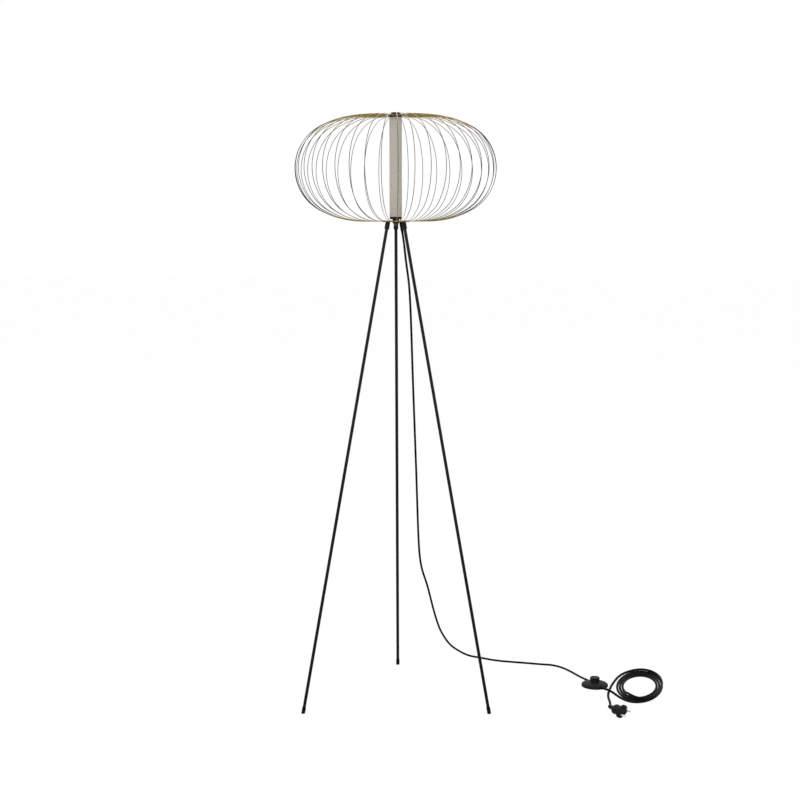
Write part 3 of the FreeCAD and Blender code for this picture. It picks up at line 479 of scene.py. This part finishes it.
# ---------------------------------------------------------------- properties
class LampLooks(bpy.types.PropertyGroup):
    """Colours and sizes that a user of the lamp would change."""

    # The brass colour is darkened to paint the wires' dark reflections.
    brass: bpy.props.FloatVectorProperty(
        name="Brass", description="Colour of the cage wires and their plates",
        subtype="COLOR", size=3, min=0, max=1, default=(0.24, 0.165, 0.04))
    # Painted dark reflection: the colour of the wires round the waist stands in for what they
    # reflect.
    brass_painted_dark_reflection: bpy.props.FloatVectorProperty(
        name="Brass, painted dark reflection", description="Colour of the wires round the waist of the cage",
        subtype="COLOR", size=3, min=0, max=1, default=(0.038, 0.034, 0.029))
    # Near-black painted dark reflection of the polished cap and boss.
    bronze: bpy.props.FloatVectorProperty(
        name="Bronze, painted dark reflection", description="Colour of the cap and the boss",
        subtype="COLOR", size=3, min=0, max=1, default=(0.012, 0.008, 0.006))
    leg: bpy.props.FloatVectorProperty(
        name="Legs", description="Colour of the leg rods and collars",
        subtype="COLOR", size=3, min=0, max=1, default=(0.007, 0.007, 0.008))
    tube: bpy.props.FloatVectorProperty(
        name="Tube", description="Colour of the frosted tube",
        subtype="COLOR", size=3, min=0, max=1, default=(0.46, 0.425, 0.375))
    moulding: bpy.props.FloatVectorProperty(
        name="Pale plastic", description="Colour of the light boards and the rotor",
        subtype="COLOR", size=3, min=0, max=1, default=(0.55, 0.54, 0.51))
    cord: bpy.props.FloatVectorProperty(
        name="Cord", description="Colour of the cord and the rubber pieces",
        subtype="COLOR", size=3, min=0, max=1, default=(0.004, 0.004, 0.004))
    plastic: bpy.props.FloatVectorProperty(
        name="Switch and plug", description="Colour of the foot switch and the plug",
        subtype="COLOR", size=3, min=0, max=1, default=(0.008, 0.008, 0.008))
    cord_diameter: bpy.props.FloatProperty(
        name="Cord diameter", description="Outer diameter of the cord up to the switch",
        default=0.0056, min=0.003, max=0.01, unit="LENGTH")
    mains_cord_diameter: bpy.props.FloatProperty(
        name="Mains cord diameter", description="Outer diameter of the cord from switch to plug",
        default=0.0064, min=0.003, max=0.01, unit="LENGTH")
    floor_size: bpy.props.FloatProperty(
        name="Floor size", description="Width of the studio floor",
        default=60.0, min=5.0, unit="LENGTH")


# ---------------------------------------------------------------- operators
class LAMP_OT_cord_to_switch(bpy.types.Operator):
    """Lay the cord from the hub down to the foot switch"""

    bl_idname = "lamp.cord_to_switch"
    bl_label = "Cord to the switch"

    def execute(self, context):
        looks = looks_of(context)
        sheath = black_cord_sheath(looks)
        cord = cord_curve("supply_cord_upper", DROP_ROUTE, looks.cord_diameter, sheath)
        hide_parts("cord_lamp_to_switch")
        return {"FINISHED"}


class LAMP_OT_cord_to_plug(bpy.types.Operator):
    """Lay the cord from the foot switch through its coil to the plug"""

    bl_idname = "lamp.cord_to_plug"
    bl_label = "Cord to the plug"

    def execute(self, context):
        looks = looks_of(context)
        steps = int(COIL_TURNS * COIL_STEPS)
        coil = [coil_point(COIL_TURNS * index / steps) for index in range(steps + 1)]
        cord = cord_curve("supply_cord_coiled", LINK_ROUTE + coil + TAIL_ROUTE,
                          looks.mains_cord_diameter, black_cord_sheath(looks))
        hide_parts("cord_switch_to_coil", "cord_coil", "cord_coil_to_plug")
        return {"FINISHED"}


class LAMP_OT_cage(bpy.types.Operator):
    """Finish the wires and the two plates that hold them"""

    bl_idname = "lamp.cage"
    bl_label = "Wire cage"

    def execute(self, context):
        brass = brass_with_painted_reflection(looks_of(context))
        finish_nodes(brass, "top_wire_plate", "bottom_wire_plate", *WIRE_NODES)
        return {"FINISHED"}


class LAMP_OT_hub(bpy.types.Operator):
    """Finish the cap, the boss, the tube's ends and all the steel pieces"""

    bl_idname = "lamp.hub"
    bl_label = "Cap, boss and rod"

    def execute(self, context):
        looks = looks_of(context)
        finish_nodes(cap_bronze_painted_reflection(looks), "top_cap_nut", "hub_boss", "tube_base_cap", "tube_lid")
        finish_nodes(darkened_steel(), "tie_rod", "rod_nut", "lid_grub_screw",
                     "leg_stud_left", "leg_stud_right", "leg_stud_back", "switch_screws",
                     "switch_return_spring")
        return {"FINISHED"}


class LAMP_OT_light_tube(bpy.types.Operator):
    """Finish the frosted tube and what it holds"""

    bl_idname = "lamp.light_tube"
    bl_label = "Light tube"

    def execute(self, context):
        looks = looks_of(context)
        finish_nodes(frosted_diffuser(looks), "diffuser_tube")
        finish_nodes(pale_moulding(looks), "led_boards")
        finish_nodes(extruded_aluminium(), "heat_sink_core")
        finish_nodes(light_chip(), "led_chips")
        finish_nodes(circuit_board(), "driver_board")
        finish_nodes(grained_black_plastic(looks), "driver_components")
        finish_nodes(soft_black_rubber(looks), "inner_leads")
        return {"FINISHED"}


class LAMP_OT_tripod(bpy.types.Operator):
    """Finish the legs, their collars, their rubber tips and the cord's outlet"""

    bl_idname = "lamp.tripod"
    bl_label = "Tripod"

    def execute(self, context):
        looks = looks_of(context)
        paint = black_leg_paint(looks)
        rubber = soft_black_rubber(looks)
        for side in ("left", "right", "back"):
            finish_nodes(paint, "leg_rod_" + side, "leg_collar_" + side)
            finish_nodes(rubber, "foot_tip_" + side)
        finish_nodes(black_cord_sheath(looks), "cord_gland")
        return {"FINISHED"}


SLEEVE_LENGTH, SLEEVE_RADIUS, SLEEVE_RIBS = 0.021, 0.0039, 5
SWITCH_SLEEVES = (
    ("in", (0.51616, 0.10725, 0.0048), (-0.419, 0.908, 0), 0.0031),
    ("out", (0.53914, 0.05598, 0.0048), (0.3943, -0.9069, 0.1479), 0.00345),
)


class LAMP_OT_foot_switch(bpy.types.Operator):
    """Finish the foot switch and its works"""

    bl_idname = "lamp.foot_switch"
    bl_label = "Foot switch"

    def execute(self, context):
        looks = looks_of(context)
        finish_nodes(grained_black_plastic(looks), "switch_base", "switch_cover", "switch_button")
        finish_nodes(soft_black_rubber(looks), "switch_rubber_pads")
        sheath = black_cord_sheath(looks)
        for side, start, heading, tip_radius in SWITCH_SLEEVES:
            ribbed_sleeve("switch_sleeve_" + side, start, heading, SLEEVE_LENGTH, SLEEVE_RADIUS,
                          tip_radius, SLEEVE_RIBS, sheath, "switch_relief_" + side)
        finish_nodes(pale_moulding(looks), "switch_rotor")
        finish_nodes(nickel_contact(), "switch_contact_bridge", "switch_terminals")
        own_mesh(NODES["switch_return_spring"])
        return {"FINISHED"}


class LAMP_OT_plug(bpy.types.Operator):
    """Finish the plug, its pins and its strain relief"""

    bl_idname = "lamp.plug"
    bl_label = "Plug"

    def execute(self, context):
        looks = looks_of(context)
        finish_nodes(grained_black_plastic(looks), "plug_body")
        finish_nodes(black_cord_sheath(looks), "plug_strain_relief")
        finish_nodes(nickel_contact(), "plug_pins")
        return {"FINISHED"}


CAMERA_PLACE = (0.0439, -3.6479, 1.2317)
CAMERA_LENS_MM = 64.797
CAMERA_PAN, CAMERA_TILT_DOWN, CAMERA_ROLL = 0.00934, 0.123, -0.0017
SURROUNDINGS_LIGHT = 0.55
FLOOR_SEEN_WHITE = 0.94
SOFTBOXES = (
    ("key_softbox", (-2.6, -3.2, 3.6), (0, 0, 0.9), 2.6, 85),
    ("fill_softbox", (3.2, -2.4, 2.2), (0.2, 0, 0.7), 2.0, 30),
    ("rim_softbox", (0.6, 3.4, 3.4), (0, 0, 1.2), 2.2, 40),
)


class LAMP_OT_stage(bpy.types.Operator):
    """Set up the floor, the white surroundings, the lamps and the camera"""

    bl_idname = "lamp.stage"
    bl_label = "Studio"

    def execute(self, context):
        looks = looks_of(context)
        scene = context.scene
        scene.view_settings.view_transform = "Standard"
        self.lay_floor(looks)
        self.surround(scene)
        for softbox in SOFTBOXES:
            self.hang_light(*softbox)
        self.place_camera(scene)
        return {"FINISHED"}

    def seen_directly(self, finish):
        """1 for rays from the camera and for mirror and glass rays, else 0."""
        path = finish.node("ShaderNodeLightPath")
        camera, glossy = (Number(finish, path.outputs[name])
                          for name in ("Is Camera Ray", "Is Glossy Ray"))
        clear = Number(finish, path.outputs["Is Transmission Ray"])
        return finish.clipped(camera + glossy + clear)

    def lay_floor(self, looks):
        deselect_all()
        bpy.ops.mesh.primitive_plane_add(size=looks.floor_size, location=(0, 0, 0))
        floor = bpy.context.active_object
        floor.name = "studio_floor"
        finish = Finish("studio_white", Base_Color=(0.95, 0.95, 0.95, 1), Roughness=0.9,
                        Specular_IOR_Level=0.0)
        glow = finish.node("ShaderNodeEmission", None, {"Color": (1, 1, 1, 1), "Strength": 1.02})
        share = self.seen_directly(finish) * FLOOR_SEEN_WHITE
        both = finish.node("ShaderNodeMixShader", None, {
            0: share, 1: finish.shader.outputs[0], 2: glow.outputs[0]})
        output = finish.tree.nodes["Material Output"]
        finish.tree.links.new(both.outputs[0], output.inputs["Surface"])
        floor.data.materials.append(finish.material)

    def surround(self, scene):
        world = bpy.data.worlds.new("studio_surroundings")
        world.use_nodes = True
        scene.world = world
        finish = Finish.__new__(Finish)
        finish.tree = world.node_tree
        share = self.seen_directly(finish)
        back = finish.tree.nodes["Background"]
        back.inputs["Color"].default_value = (1, 1, 1, 1)
        finish.feed(back.inputs["Strength"],
                    SURROUNDINGS_LIGHT + share * (1 - SURROUNDINGS_LIGHT))

    def hang_light(self, name, place, target, width, power):
        deselect_all()
        bpy.ops.object.light_add(type="AREA", location=place)
        light = bpy.context.active_object
        light.name = name
        light.data.size = width
        light.data.energy = power
        aim = Vector(target) - Vector(place)
        light.rotation_mode = "QUATERNION"
        light.rotation_quaternion = aim.to_track_quat("-Z", "Y")

    def place_camera(self, scene):
        lens = bpy.data.cameras.new("photo_view")
        lens.sensor_width = 36
        lens.lens = CAMERA_LENS_MM
        lens.clip_start, lens.clip_end = 0.05, 200
        camera = bpy.data.objects.new("photo_view", lens)
        scene.collection.objects.link(camera)
        turn = (Matrix.Rotation(CAMERA_PAN, 4, "Z")
                @ Matrix.Rotation(math.pi / 2 - CAMERA_TILT_DOWN, 4, "X")
                @ Matrix.Rotation(CAMERA_ROLL, 4, "Z"))
        camera.matrix_world = Matrix.Translation(from_lamp(*CAMERA_PLACE)) @ turn
        scene.camera = camera


class LAMP_PT_panel(bpy.types.Panel):
    """Lists the lamp's pieces and finishes"""

    bl_idname = "LAMP_PT_panel"
    bl_label = "Wire cage floor lamp"
    bl_space_type = "VIEW_3D"
    bl_region_type = "UI"
    bl_category = "Lamp"

    def draw(self, context):
        looks = looks_of(context)
        for name in ("brass", "brass_painted_dark_reflection", "bronze", "leg", "tube", "moulding", "cord", "plastic",
                     "cord_diameter", "mains_cord_diameter", "floor_size"):
            self.layout.prop(looks, name)
        for operator in OPERATORS:
            self.layout.operator(operator.bl_idname)


OPERATORS = (LAMP_OT_stage, LAMP_OT_cord_to_switch, LAMP_OT_cord_to_plug, LAMP_OT_cage,
             LAMP_OT_hub, LAMP_OT_light_tube, LAMP_OT_tripod, LAMP_OT_foot_switch, LAMP_OT_plug)
CLASSES = (LampLooks, *OPERATORS, LAMP_PT_panel)


def register():
    for item in CLASSES:
        bpy.utils.register_class(item)
    bpy.types.Scene.lamp_looks = bpy.props.PointerProperty(type=LampLooks)


def unregister():
    del bpy.types.Scene.lamp_looks
    for item in reversed(CLASSES):
        bpy.utils.unregister_class(item)


def main():
    register()
    bpy.ops.lamp.stage()
    bpy.ops.lamp.cage()
    bpy.ops.lamp.hub()
    bpy.ops.lamp.light_tube()
    bpy.ops.lamp.tripod()
    bpy.ops.lamp.foot_switch()
    bpy.ops.lamp.plug()
    bpy.ops.lamp.cord_to_switch()
    bpy.ops.lamp.cord_to_plug()
    deselect_all()
    bpy.context.view_layer.update()


if __name__ == "__main__":
    main()
